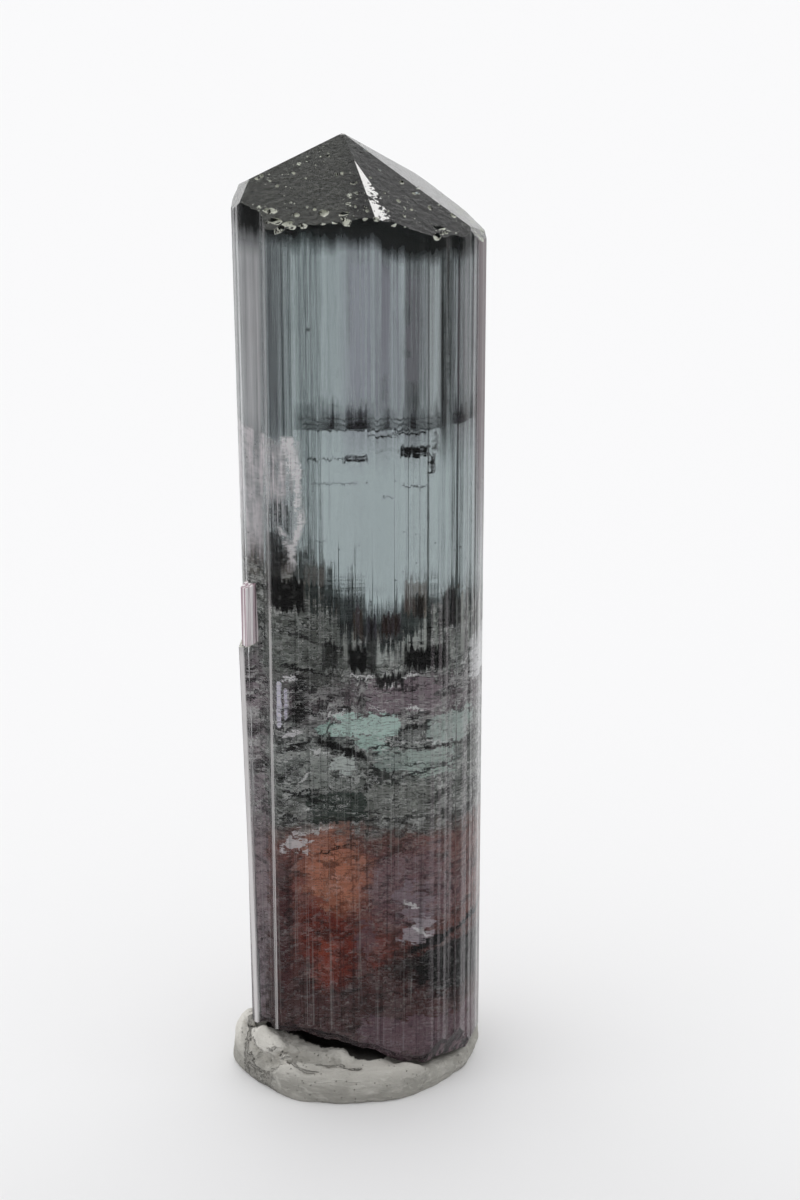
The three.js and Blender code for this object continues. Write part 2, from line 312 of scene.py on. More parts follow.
def milky_tourmaline(settings):
    """The short side crystal: pale pink and half clear."""
    recipe = Recipe("Milky side crystal")
    striae = recipe.noise(recipe.place(), (3.5, 3.5, 0.05), detail=4.0)
    glass = recipe.shader(
        Base_Color=(1.0, 1.0, 1.0), Roughness=0.1, IOR=settings.ior, Transmission_Weight=1.0
    )
    milk = recipe.shader(
        Base_Color=recipe.blend(striae.step(0.44, 0.60), srgb(164, 134, 146), (1.0, 0.97, 0.98)),
        Roughness=0.3,
        Normal=recipe.bump(striae, 0.08),
    )
    surface = recipe.either(striae.step(0.3, 0.45) * 0.6 + 0.4, glass, milk)
    return crystal_finish(recipe, settings, surface)


def pointed_tourmaline(settings):
    """The point's faces, with painted shade: darker for the dark look through them along the crystal,
    the right-hand faces darker than the left.
    """
    recipe = Recipe("Tourmaline point faces")
    place = recipe.place()
    x, y, z = recipe.parts(place)
    etching = recipe.noise(place, (2.0, 2.0, 2.0), detail=6.0)
    rough = recipe.noise(place, (5.0, 5.0, 5.0), detail=3.0, seed=2.0)
    clusters = recipe.noise(place, (0.35, 0.35, 0.35), detail=2.0, seed=3.0)
    clusters = clusters - x.step(0.3, 1.6) * 0.06
    dots = (recipe.cells(place, (2.8, 2.8, 2.8)) + rough * 0.8 - clusters * 1.2).step(-0.08, -0.14)
    pits = (recipe.cells(place, (1.1, 1.1, 1.1)) + rough * 1.0 - clusters * 1.3).step(-0.06, -0.11)
    chipped = recipe.noise(place, (1.2, 1.2, 2.4), detail=6.0, rough=0.65, seed=5.0)
    white = largest([dots, pits, (chipped + z.step(72.4, 70.0) * 0.13).step(0.655, 0.69)])
    white = (white * (rough.step(0.35, 0.5) * 0.7 + 0.3)).most(etching * x.step(1.0, -1.0) * 0.14)
    # Painted shade: the faces right of the etched ridge get a far darker colour than those left of
    # it, for how light falls on them.
    facing = recipe.blend(x.step(-0.5, 0.8), srgb(136, 154, 152), srgb(50, 52, 48))
    streaked = recipe.noise(place, (1.2, 1.2, 0.1), detail=3.0, seed=8.0)
    mottled = (etching * 0.5 + streaked * 0.5).step(0.42, 0.62)
    body = recipe.blend(mottled, facing, srgb(152, 160, 155))
    glass = clear_glass(recipe, settings, body, 0.1, recipe.bump(etching, 0.12))
    speck = recipe.shader(
        Base_Color=recipe.blend(rough.step(0.4, 0.6), srgb(104, 108, 98), srgb(214, 218, 204)),
        Roughness=0.6,
        Normal=recipe.bump(rough, 0.2),
    )
    return crystal_finish(recipe, settings, recipe.either(white, glass, speck))


def etched_tourmaline(settings, name, colour, coarse, share, gaps=0.0):
    """Pits, chips and the etched ridge: frosted, with bright grains and some bare gaps."""
    recipe = Recipe(name)
    place = recipe.place()
    grains = recipe.noise(place, (coarse, coarse, coarse * 0.5), detail=4.0, rough=0.7)
    bare = recipe.noise(place, (0.8, 0.8, 0.5), detail=4.0, rough=0.6, seed=6.0) - 0.5
    x, _, z = recipe.parts(place)
    bare = bare - (x - RIDGE_SIDE[0] + (z - RIDGE_SIDE[1]) * RIDGE_LEAN).most(0.0) * 0.22
    glass = clear_glass(recipe, settings, srgb(96, 102, 100), 0.2, recipe.bump(grains, 0.2))
    frost = recipe.shader(Base_Color=colour, Roughness=0.35, Normal=recipe.bump(grains, 0.25))
    edge = 0.5 - (share - 0.5) * 0.35
    frosted = (grains + bare * gaps).step(edge - 0.02, edge + 0.02)
    return crystal_finish(recipe, settings, recipe.either(frosted, glass, frost))


# How the crystal over a pigment changes it: light it adds, light it lets back, and echo inside.
SHEEN, LET_BACK, ECHO = 0.006, 0.33, 0.65


def under_glass(red, green, blue):
    """The pigment that looks like this 0 to 255 colour once the crystal covers it."""
    seen = (max(level - SHEEN, 0.0004) for level in srgb(red, green, blue))
    return tuple(min(level / (LET_BACK + ECHO * level), 0.97) for level in seen)


# The bright crack colour is a painted glint, light off fracture planes; DARK is the dark cracks' own
# colour.
DARK, PAINTED_GLINT = (10, 8, 8), (244, 242, 240)

# Zones of the lower half, by height: where each begins and what it looks like.
ZONES = [
    (3.0, (88, 76, 77)),
    (5.5, (64, 48, 48)),
    (9.0, (56, 41, 41)),
    (12.0, (70, 44, 42)),
    (17.0, (88, 56, 52)),
    (22.0, (92, 64, 60)),
    (23.6, (70, 70, 68)),
    (27.0, (80, 83, 80)),
    (31.0, (94, 97, 95)),
    (33.5, (84, 77, 80)),
    (36.0, (72, 68, 70)),
    (37.0, (88, 92, 89)),
    (41.0, (84, 88, 85)),
    (45.0, (66, 62, 58)),
]

# Drifts on the sides away from the front: z from, z to, the paler and the deeper colour.
DRIFTS = [
    (25.0, 37.0, (140, 158, 151), (58, 54, 60)),
    (8.0, 22.5, (128, 78, 64), (60, 44, 50)),
]

# Soft glows of colour low down: middle x and z, reach in x and z, lean, colour, how solid.
GLOWS = [
    (-8.4, 20.0, 1.4, 20.0, 0.0, (124, 112, 118), 0.8),
    (4.2, 18.2, 4.6, 4.2, 0.0, (88, 70, 74), 0.85),
    (-2.2, 19.6, 3.0, 4.4, -0.25, (132, 80, 66), 1.0),
    (-2.7, 13.4, 2.5, 5.0, -0.12, (84, 41, 36), 1.0),
    (-2.2, 18.4, 1.6, 3.2, -0.2, (150, 88, 70), 0.75),
    (-2.9, 12.0, 0.9, 2.4, -0.2, (112, 54, 44), 0.6),
    (1.2, 12.4, 1.6, 1.2, 0.3, (92, 50, 46), 0.7),
    (7.6, 20.0, 1.6, 3.6, 0.0, (84, 60, 57), 0.5),
    (7.4, 10.4, 3.0, 3.0, 0.0, (22, 14, 16), 1.0),
    (-6.3, 15.0, 0.9, 7.0, 0.0, (50, 35, 37), 0.8),
    (5.6, 11.0, 4.2, 1.9, 0.0, (30, 20, 22), 0.9),
]

# Single clouds in the lower half: x from, x to, z from, z to, colour, how solid, how tattered.
CLOUDS = [
    (-7.2, -0.6, 35.4, 41.6, (78, 80, 77), 0.5, 1.0),
    (0.5, 6.0, 33.2, 36.0, (102, 90, 96), 0.85, 1.0),
    # The pale mint clouds: the crystal's green, painted as bright as the light from behind that shows
    # through these clear windows.
    (-3.4, 0.4, 31.4, 32.5, (132, 162, 152), 1.0, 1.2),
    (-2.2, 2.8, 31.2, 33.1, (158, 190, 179), 1.0, 1.0),
    (-0.6, 2.2, 30.0, 31.4, (140, 168, 158), 1.0, 1.0),
    (5.2, 8.4, 30.4, 32.9, (136, 152, 146), 0.9, 1.0),
    (4.4, 9.2, 9.4, 12.4, (20, 13, 15), 0.9, 1.0),
    (3.0, 7.4, 27.8, 29.9, (134, 150, 143), 0.95, 1.0),
    (1.4, 3.4, 28.4, 30.2, (112, 124, 119), 0.8, 1.2),
    (-4.5, -2.4, 26.9, 30.4, (118, 122, 118), 0.7, 1.2),
    (-2.3, -0.6, 27.8, 29.6, (166, 176, 171), 0.85, 1.0),
    (-4.3, 0.5, 23.9, 26.4, (44, 49, 46), 0.9, 1.0),
    (0.5, 5.4, 24.4, 27.2, (102, 104, 100), 0.6, 1.2),
    (2.6, 5.4, 14.6, 18.4, (104, 92, 99), 0.6, 1.6),
    (3.2, 5.4, 12.9, 15.4, (134, 124, 132), 0.8, 1.6),
    (-0.5, 1.0, 11.8, 15.0, (78, 62, 66), 0.6, 1.2),
    # Painted reflection: this pale patch is light off a fracture plane.
    (-6.2, -4.1, 20.9, 22.9, (196, 188, 192), 0.8, 1.6),
    (-5.3, -4.3, 32.4, 36.4, (20, 18, 20), 0.85, 0.4),
    (-5.8, -4.4, 35.9, 36.9, (24, 24, 24), 0.8, 1.0),
    # Painted reflections: the lavender and white patches below are light off fracture planes.
    (-6.5, -6.15, 32.0, 35.9, (206, 198, 226), 1.0, 0.2),
    (-5.95, -5.75, 32.6, 35.4, (190, 182, 210), 0.9, 0.2),
    (-6.3, -4.9, 35.7, 36.4, (228, 222, 228), 1.0, 1.0),
    (-6.2, -4.6, 30.9, 31.6, (214, 208, 214), 0.9, 1.0),
    (-0.2, 9.0, 2.6, 6.4, (86, 70, 77), 0.6, 1.2),
    (0.6, 1.7, 37.3, 39.2, (146, 152, 148), 0.9, 0.2),
    (1.7, 3.2, 37.6, 39.3, (152, 158, 154), 0.9, 0.2),
    (3.3, 5.1, 39.2, 41.2, (138, 144, 140), 0.9, 0.2),
    (8.2, 9.3, 34.6, 38.6, (214, 214, 218), 0.9, 0.4),
]
PALE = 130  # a cloud this light or lighter is calm: little lies over it

# Dark blocks with combed ends: x from, x to, z from, z to, colour and how solid.
BARS = [
    (-6.9, -4.3, 41.8, 44.4, (8, 8, 8), 1.0),
    (-6.9, -6.0, 43.0, 48.0, (18, 18, 18), 0.9),
    (-4.3, -2.6, 43.9, 45.6, (92, 86, 82), 0.6),
    (-3.0, -1.8, 36.9, 39.2, (18, 20, 19), 0.75),
    (-1.0, 0.5, 36.8, 38.8, (8, 8, 8), 1.0),
    (-0.6, 0.1, 39.6, 42.0, (46, 40, 36), 0.85),
    (0.5, 1.2, 36.6, 41.2, (12, 12, 12), 0.9),
    (1.1, 3.3, 35.5, 36.5, (12, 12, 12), 0.95),
    (1.6, 3.0, 39.8, 41.6, (34, 28, 25), 0.9),
    (3.3, 6.4, 36.9, 38.7, (8, 8, 8), 1.0),
    (3.3, 5.1, 41.4, 44.2, (96, 82, 72), 0.55),
    (4.1, 4.8, 41.2, 43.2, (22, 19, 18), 0.9),
    (6.0, 7.2, 40.2, 43.2, (22, 21, 21), 0.9),
]

# Long cracks: from x and z, to x and z, half width, colour and how solid. The bright ones are painted
# glints, light off fracture planes.
CRACKS = [
    (-3.8, 31.2, 0.6, 29.2, 0.32, DARK, 1.0),
    (-6.6, 29.9, -3.6, 31.0, 0.14, DARK, 0.9),
    (0.4, 30.2, 3.4, 31.0, 0.12, DARK, 0.9),
    (2.6, 27.6, 7.6, 28.9, 0.14, DARK, 0.9),
    (-6.4, 26.6, -2.6, 25.6, 0.12, DARK, 0.9),
    (-3.6, 21.2, -0.8, 21.9, 0.10, DARK, 0.9),
    (3.6, 12.3, 7.4, 13.9, 0.34, DARK, 1.0),
    (7.2, 13.9, 9.2, 14.2, 0.30, DARK, 1.0),
    (-6.9, 40.4, -0.8, 38.4, 0.12, DARK, 0.8),
    (-6.6, 37.4, -1.4, 36.2, 0.12, DARK, 0.9),
    (0.6, 34.8, 5.6, 35.6, 0.10, DARK, 0.7),
    (-6.4, 33.6, -2.8, 33.0, 0.10, DARK, 0.8),
    (-6.9, 23.9, 8.6, 24.2, 0.10, DARK, 0.7),
    (-1.0, 36.3, 1.2, 36.2, 0.10, PAINTED_GLINT, 0.9),
    (1.5, 35.5, 3.0, 35.6, 0.10, PAINTED_GLINT, 0.9),
    (3.0, 36.2, 4.6, 36.4, 0.10, PAINTED_GLINT, 0.8),
    (-2.9, 32.9, -1.2, 33.3, 0.10, PAINTED_GLINT, 0.7),
    (3.4, 33.6, 5.2, 33.4, 0.14, PAINTED_GLINT, 0.9),
    (-3.4, 31.0, -2.0, 32.6, 0.10, DARK, 0.8),
    (2.6, 31.6, 5.6, 32.4, 0.12, DARK, 0.9),
    (2.0, 30.4, 7.4, 30.0, 0.12, DARK, 0.9),
    (3.0, 28.9, 6.0, 28.7, 0.08, DARK, 0.8),
    (0.6, 33.8, 2.0, 33.4, 0.10, PAINTED_GLINT, 0.6),
    (-4.4, 30.4, -2.4, 29.7, 0.10, PAINTED_GLINT, 0.7),
    (1.4, 30.9, 7.4, 30.5, 0.07, PAINTED_GLINT, 0.6),
    (-5.0, 27.0, -3.9, 28.4, 0.10, PAINTED_GLINT, 0.6),
    (-4.5, 23.0, -2.0, 23.4, 0.08, PAINTED_GLINT, 0.5),
    (3.3, 16.8, 4.6, 16.2, 0.14, PAINTED_GLINT, 0.6),
    (4.0, 14.6, 5.4, 13.6, 0.16, PAINTED_GLINT, 0.6),
]

# Dark wisps in the clear upper half: x from, x to, z from, z to, and how solid.
WISPS = [
    (-4.6, 8.8, 57.05, 57.25, 0.85),
    (-4.2, 8.8, 56.62, 56.85, 0.85),
    (-4.2, 6.0, 56.20, 56.45, 0.90),
    (3.3, 4.9, 58.2, 60.2, 0.55),
    (3.6, 4.6, 58.0, 59.6, 0.75),
    (1.6, 2.0, 58.9, 60.6, 0.6),
    (0.5, 2.8, 55.70, 55.88, 1.0),
    (2.6, 5.0, 55.95, 56.15, 1.0),
    (-4.0, -3.1, 53.85, 54.1, 0.9),
    (-1.2, 0.6, 53.75, 54.25, 1.0),
    (-3.0, -1.0, 53.98, 54.1, 0.8),
    (0.6, 3.2, 54.6, 54.7, 0.6),
    (3.0, 5.2, 54.1, 55.0, 1.0),
    (5.4, 5.8, 54.2, 55.8, 1.0),
    (5.2, 5.6, 52.8, 54.2, 1.0),
    (-3.6, -0.2, 52.0, 52.12, 0.7),
    (3.15, 5.0, 51.72, 51.84, 0.9),
    (1.65, 2.4, 50.8, 50.92, 0.7),
    (-4.1, -2.5, 47.4, 47.52, 0.7),
    (-0.88, -0.76, 62.8, 69.6, 0.8),
    (3.2, 3.8, 64.6, 66.4, 0.6),
    (3.2, 3.8, 61.9, 62.6, 0.5),
    (-3.9, -3.6, 63.9, 64.2, 0.8),
    (5.95, 6.75, 56.5, 70.4, 0.9),
]
LONG = 1.5  # mm, a wisp taller than this has combed ends

# How smoky the upper half is, from left to right, and its colour there.
SMOKE = [
    (-9.5, 0.40, (190, 186, 190)),
    (-7.3, 0.42, (190, 186, 190)),
    (-7.0, 0.60, (52, 50, 54)),
    (-5.9, 0.56, (50, 48, 52)),
    (-5.3, 0.30, (56, 62, 64)),
    (-4.8, 0.14, (72, 86, 86)),
    (-1.6, 0.20, (92, 98, 104)),
    (-0.9, 0.36, (100, 96, 110)),
    (0.5, 0.34, (102, 98, 112)),
    (1.2, 0.50, (84, 80, 90)),
    (3.0, 0.48, (86, 80, 92)),
    (3.4, 0.60, (66, 62, 68)),
    (4.9, 0.56, (64, 60, 65)),
    (5.2, 0.36, (96, 92, 94)),
    (5.8, 0.38, (92, 88, 90)),
    (6.0, 0.95, (24, 22, 24)),
    (6.7, 0.95, (24, 22, 24)),
    (6.95, 0.44, (76, 72, 75)),
    (8.4, 0.42, (78, 70, 74)),
    (9.3, 0.70, (66, 50, 55)),
]

# Pale streaks down the left of the upper half, painted reflections of light off fractures: x and z at
# the top, at the foot, half width.
STREAKS = [
    (-5.4, 55.6, -4.9, 52.8, 0.60),
    (-4.8, 53.2, -4.7, 50.9, 0.34),
    (-4.7, 50.9, -4.4, 48.9, 0.38),
    (-4.4, 48.9, -5.2, 47.0, 0.32),
    (-5.2, 47.0, -5.3, 45.0, 0.26),
    (-6.0, 48.4, -5.0, 45.6, 0.16),
]

HALFWAY = 40.0  # mm, about where the cloudy half gives way to the clear one
LOWEST_BAR = 35.0  # mm
HEIGHT, WIDTH = 80.0, 20.0  # mm, what the ramps of colour by height and by width span

# Heights between which the inclusions share one material.
BANDS = [(0.0, 17.0), (17.0, 27.0), (27.0, 35.5), (35.5, 47.5), (47.5, 80.0)]


class Inside:
    """A place inside the crystal, from its axis, and the noises that break up its patterns."""

    def __init__(self, recipe, low, high):
        self.recipe, self.low, self.high = recipe, low, high
        self.place = recipe.vector("ADD", recipe.place(), (-MIDDLE[0], -MIDDLE[1], 0.0))
        self.x, self.y, self.z = recipe.parts(self.place)
        self.front = self.y.step(3.0, -3.0)
        self.needles = self.noise((3.6, 3.6, 0.04), detail=4.0, rough=0.7, seed=2.0)
        self.cloud = self.noise((0.45, 0.45, 0.8), detail=3.0, warp=0.6)
        self.ragged = self.noise((1.3, 1.3, 2.6), detail=4.0, rough=0.65, warp=0.8, seed=4.0)

    def noise(self, stretch, detail=3.0, rough=0.55, warp=0.0, seed=0.0):
        """Noise between -0.5 and 0.5; each seed takes it from another place."""
        shift = (seed * 7.7, seed * 5.3, seed * 3.1)
        place = self.recipe.vector("MULTIPLY_ADD", self.place, stretch, shift)
        grain = {"Scale": 1.0, "Detail": detail, "Roughness": rough, "Distortion": warp}
        return self.recipe.node("ShaderNodeTexNoise", None, {"Vector": place, **grain}) - 0.5

    def spot(self, across, along):
        """A place in the picture plane."""
        return self.recipe.joined(across, 0.0, along)

    def box(self, spot, x_low, x_high, z_low, z_high, soft):
        """1 inside a box in the picture plane, falling to 0 across its soft border."""
        half_width, half_height = (x_high - x_low) / 2, (z_high - z_low) / 2
        middle = ((x_low + x_high) / 2, 0.0, (z_low + z_high) / 2)
        away = self.recipe.vector("ABSOLUTE", self.recipe.vector("SUBTRACT", spot, middle))
        sides = self.recipe.node(
            "ShaderNodeMapRange",
            {"data_type": "FLOAT_VECTOR", "interpolation_type": "SMOOTHSTEP"},
            {
                6: away,
                7: (half_width + soft, 1.0, half_height + soft),
                8: (half_width - soft, 0.0, half_height - soft),
            },
            out=1,
        )
        side, _, level = self.recipe.parts(sides)
        return side * level

    def oval(self, spot, middle, turn, reach, inner, outer, solid):
        """Solid inside a turned oval in the picture plane, fading from an inner to an outer share."""
        own = self.recipe.node(
            "ShaderNodeMapping",
            {"vector_type": "TEXTURE"},
            {
                0: spot,
                1: (middle[0], 0.0, middle[1]),
                2: (0.0, turn, 0.0),
                3: (reach[0], 1.0, reach[1]),
            },
        )
        return self.recipe.vector("LENGTH", own, out=1).step(outer, inner, solid)

    def reaches(self, z_low, z_high, margin):
        """Whether anything between two heights shows in this band, with its ragged margin."""
        return z_low < self.high + margin and z_high > self.low - margin


def zoned(inside, strips):
    """The lower half's colours by height, with its drifts and soft glows."""
    recipe, x, z = inside.recipe, inside.x, inside.z
    cloud, ragged = inside.cloud, inside.ragged
    colour = recipe.ramp(
        (z + cloud * 4.0 + ragged * 2.0 + strips * 2.0) / HEIGHT,
        [(height / HEIGHT, under_glass(*shade)) for height, shade in ZONES],
    )
    drift = inside.noise((0.16, 0.16, 0.24), detail=2.0, warp=0.5, seed=13.0) + ragged * 0.2
    for z_low, z_high, pale, deep in DRIFTS:
        if inside.reaches(z_low, z_high, 2.0):
            there = (1.0 - inside.front) * (z + ragged * 2.0).step(z_low - 1.0, z_low + 1.0)
            there = there * (z + ragged * 2.0).step(z_high + 1.0, z_high - 1.0) * 0.75
            colour = recipe.blend(there * drift.step(0.02, 0.08), colour, under_glass(*pale))
            colour = recipe.blend(there * drift.step(-0.02, -0.08), colour, under_glass(*deep))
    spot = inside.spot(
        x + ragged * 2.2 + cloud * 2.0, z + ragged * 2.2 + strips * 1.5 + cloud * 3.0
    )
    for centre_x, centre_z, reach_x, reach_z, lean, shade, solid in GLOWS:
        if inside.reaches(centre_z - reach_z, centre_z + reach_z, 3.0):
            middle, reach = (centre_x, centre_z), (reach_x, reach_z)
            share = inside.oval(spot, middle, math.atan(lean), reach, 0.59, 1.12, solid)
            colour = recipe.blend(share * inside.front, colour, under_glass(*shade))
    return colour


def clouded_half(inside):
    """The lower half: zones, broken blocks, clouds, veins and cracks, one over another."""
    recipe, x, y, z, front = inside.recipe, inside.x, inside.y, inside.z, inside.front
    cloud, ragged, needles = inside.cloud, inside.ragged, inside.needles
    light, dark = under_glass(176, 178, 175), under_glass(*DARK)
    shattered = z.step(21.5, 25.0)
    strips = inside.noise((2.0, 2.0, 0.0), detail=3.0, seed=1.0)
    colour = zoned(inside, strips)
    broken = recipe.joined(
        x + y * 0.8 + ragged * 2.6 + cloud * 1.6,
        z + ragged * 1.8 + cloud * 2.0 + strips * 2.0,
        0.0,
    )
    block = recipe.blocks(broken, (0.9, 1.5, 1.0))
    chip = recipe.blocks(broken, (2.4, 4.2, 1.0))
    colour = recipe.blend(block.step(0.74, 0.76) * (shattered * 0.3 + 0.06), colour, light)
    colour = recipe.blend(block.step(0.30, 0.28) * (shattered * 0.5 + 0.2), colour, dark)
    colour = recipe.blend(chip.step(0.88, 0.9) * (shattered * 0.5 + 0.12), colour, light)
    colour = recipe.blend(chip.step(0.2, 0.18) * 0.4, colour, dark)

    pocket = inside.noise((0.55, 0.55, 1.3), detail=3.0, rough=0.6, warp=1.0, seed=15.0)
    colour = recipe.blend(pocket.step(-0.02, -0.14) * 0.55, colour, dark)
    tatter = inside.noise((0.8, 0.8, 1.7), detail=4.0, rough=0.6, warp=0.5, seed=11.0)
    clouds = [cloud for cloud in CLOUDS if inside.reaches(*cloud[2:4], 0.4 + 1.6 * cloud[-1])]
    tears = {
        torn: (
            inside.spot(x + ragged * (1.3 * torn), z + (ragged * 1.3 + strips) * torn),
            (1.0 + tatter * (3.4 * torn)) * front,
        )
        for torn in sorted({cloud[-1] for cloud in clouds})
    }
    calm = []
    for x_low, x_high, z_low, z_high, shade, solid, torn in clouds:
        spot, fray = tears[torn]
        share = inside.box(spot, x_low, x_high, z_low, z_high, 0.15 + 0.7 * torn)
        share = (share * fray).step(0.42, 0.54, solid)
        colour = recipe.blend(share, colour, under_glass(*shade))
        if min(shade) >= PALE:
            calm.append(share)
    over = 1.0 - largest(calm) * 0.3

    fine = inside.noise((2.6, 2.6, 6.0), detail=4.0, rough=0.7, seed=5.0)
    colour = recipe.blend(fine.step(0.06, 0.18) * (shattered * 0.22 + 0.2) * over, colour, light)
    colour = recipe.blend(fine.step(-0.05, -0.18) * 0.5 * over, colour, dark)
    sheen = inside.noise((1.0, 1.0, 9.0), detail=3.0, rough=0.7, warp=0.8, seed=9.0)
    sheen = sheen.step(0.10, 0.16) * cloud.step(-0.04, 0.08) * shattered * z.step(41.0, 39.0)
    colour = recipe.blend(sheen * 0.55, colour, under_glass(225, 226, 224))
    veins = inside.noise((0.5, 0.5, 2.1), detail=4.0, warp=1.4, seed=7.0).size()
    colour = recipe.blend(veins.step(0.018, 0.008) * (shattered * 0.6 + 0.3) * over, colour, dark)
    crackle = inside.noise((0.7, 0.7, 1.5), detail=4.0, warp=1.3, seed=14.0).size()
    crackle = crackle.step(0.012, 0.003) * (shattered * 0.5 + 0.15) * cloud.step(-0.08, 0.04)
    colour = recipe.blend(crackle, colour, under_glass(206, 206, 204))
    spot = inside.spot(x, z + ragged * 1.6 + strips * 0.8)
    for tone in (DARK, PAINTED_GLINT):
        lines = []
        for x_from, z_from, x_to, z_to, half, shade, solid in CRACKS:
            if shade == tone and inside.reaches(min(z_from, z_to), max(z_from, z_to), 1.2):
                run_x, run_z = x_to - x_from, z_to - z_from
                middle = (x_from + x_to) / 2, (z_from + z_to) / 2
                reach = math.hypot(run_x, run_z) / 2, half * 1.15
                turn = -math.atan2(run_z, run_x)
                lines.append(inside.oval(spot, middle, turn, reach, 0.75, 1.25, solid))
        colour = recipe.blend(largest(lines) * front, colour, under_glass(*tone))
    colour = recipe.blend(needles.step(0.05, 0.12) * 0.16, colour, light)
    return recipe.blend(needles.step(-0.05, -0.12) * 0.42 * over, colour, dark), block, fine


def barred(inside, colour):
    """Lays the dark blocks with combed ends over a colour, and says where they are."""
    spot = inside.spot(
        inside.x + inside.ragged * 0.3, inside.z + inside.needles * 3.5 + inside.ragged * 0.6
    )
    worn = (1.0 + inside.ragged + inside.needles).clamped() * inside.front
    shares = []
    for x_low, x_high, z_low, z_high, shade, solid in BARS:
        if inside.reaches(z_low, z_high, 1.8):
            share = inside.box(spot, x_low, x_high, z_low, z_high, 0.12) * worn * solid
            colour = inside.recipe.blend(share, colour, under_glass(*shade))
            shares.append(share)
    return colour, largest(shares)


def clear_half(inside):
    """The upper half's smoke, veil, streaks and wisps: their colour, and how much they hide."""
    recipe, x, z = inside.recipe, inside.x, inside.z
    cloud, ragged, needles = inside.cloud, inside.ragged, inside.needles
    bands = inside.noise((1.0, 1.0, 0.01), detail=3.0, seed=6.0)
    levels = [(at / WIDTH + 0.5, (level,) * 3) for at, level, _ in SMOKE]
    shades = [(at / WIDTH + 0.5, under_glass(*shade)) for at, _, shade in SMOKE]
    smoke = recipe.parts(recipe.ramp(x / WIDTH + 0.5, levels))[0]
    haze = recipe.ramp(x / WIDTH + 0.5, shades)
    smoke = (smoke * z.step(52.0, 57.5) + 0.04) * (1.0 + needles * 2.4 + bands * 2.2)
    shade = (z + needles * 1.6 + bands * 2.0 + x.step(0.5, 3.0) * 1.4).step(68.8, 71.5)
    haze = recipe.blend(shade, haze, under_glass(20, 26, 25))
    fume = (z + needles * 5.0 + cloud * 2.0).step(60.0, 56.4) * z.step(56.1, 56.4)
    fume = fume * x.step(-6.0, -3.8) * (1.0 + bands * 2.0) * 0.82
    haze = recipe.blend(fume, haze, under_glass(40, 40, 42))

    grain = inside.noise((1.8, 1.8, 0.22), detail=4.0, seed=12.0)
    spot = inside.spot(x + cloud * 0.8, z + cloud * 1.5 + ragged)
    veil = inside.box(spot, -9.6, -4.5, 43.5, 55.6, 0.35)
    veil = veil * (0.7 + grain * 2.4 + ragged * 0.8).clamped()
    veil = veil * (z.step(45.0, 53.5) * 0.7 + 0.3).most(x.step(-7.0, -7.4) * 0.85)
    haze = recipe.blend(veil, haze, under_glass(206, 190, 196))
    spot = inside.spot(x + needles, z + ragged * 2.0 + needles * 8.0)
    bruise = inside.box(spot, -6.9, -5.2, 43.5, 51.0, 0.3)
    bruise = bruise * (needles * 1.5 + ragged * 0.5).step(-0.06, 0.06)
    haze = recipe.blend(bruise, haze, under_glass(22, 21, 22))
    streaks = []
    for x_top, z_top, x_foot, z_foot, half in STREAKS:
        if inside.reaches(z_foot, z_top, 0.5):
            across = x + ragged * 1.1 - (z - z_foot) * ((x_top - x_foot) / (z_top - z_foot))
            sides = x_foot - half, x_foot + half, z_foot - 0.2, z_top + 0.2
            streaks.append(inside.box(inside.spot(across, z), *sides, 0.22))
    pale = (0.85 + grain * 2.6 + ragged * 2.0).clamped() * largest(streaks)
    # The pale streaks are painted reflections, light off fractures.
    haze = recipe.blend(pale, haze, under_glass(236, 226, 231))

    specks = (recipe.cells(inside.place, (1.4, 1.4, 1.4)) + cloud * 0.3).step(0.10, 0.05)
    wavy = x + ragged * 0.6
    combed = inside.spot(wavy, z + ragged * 0.8 + needles * 4.0)
    plain = inside.spot(wavy, z + ragged * 0.8 + needles * 1.2)
    lines = []
    for x_low, x_high, z_low, z_high, solid in WISPS:
        if inside.reaches(z_low, z_high, 2.0):
            spot, soft = (combed, 0.25) if z_high - z_low > LONG else (plain, 0.06)
            lines.append(inside.box(spot, x_low, x_high, z_low, z_high, soft) * solid)
    lines = (0.95 + ragged * 2.2 + needles * 2.0).clamped() * largest(lines)
    wisps = (specks * z.step(56.0, 54.0) * 0.7).most(lines)
    haze = recipe.blend(wisps, haze, under_glass(14, 14, 15))
    shown = [smoke, shade * 0.98, fume, veil * 0.85, bruise * 0.85, pale * 0.95, wisps]
    return haze, largest(shown) * inside.front


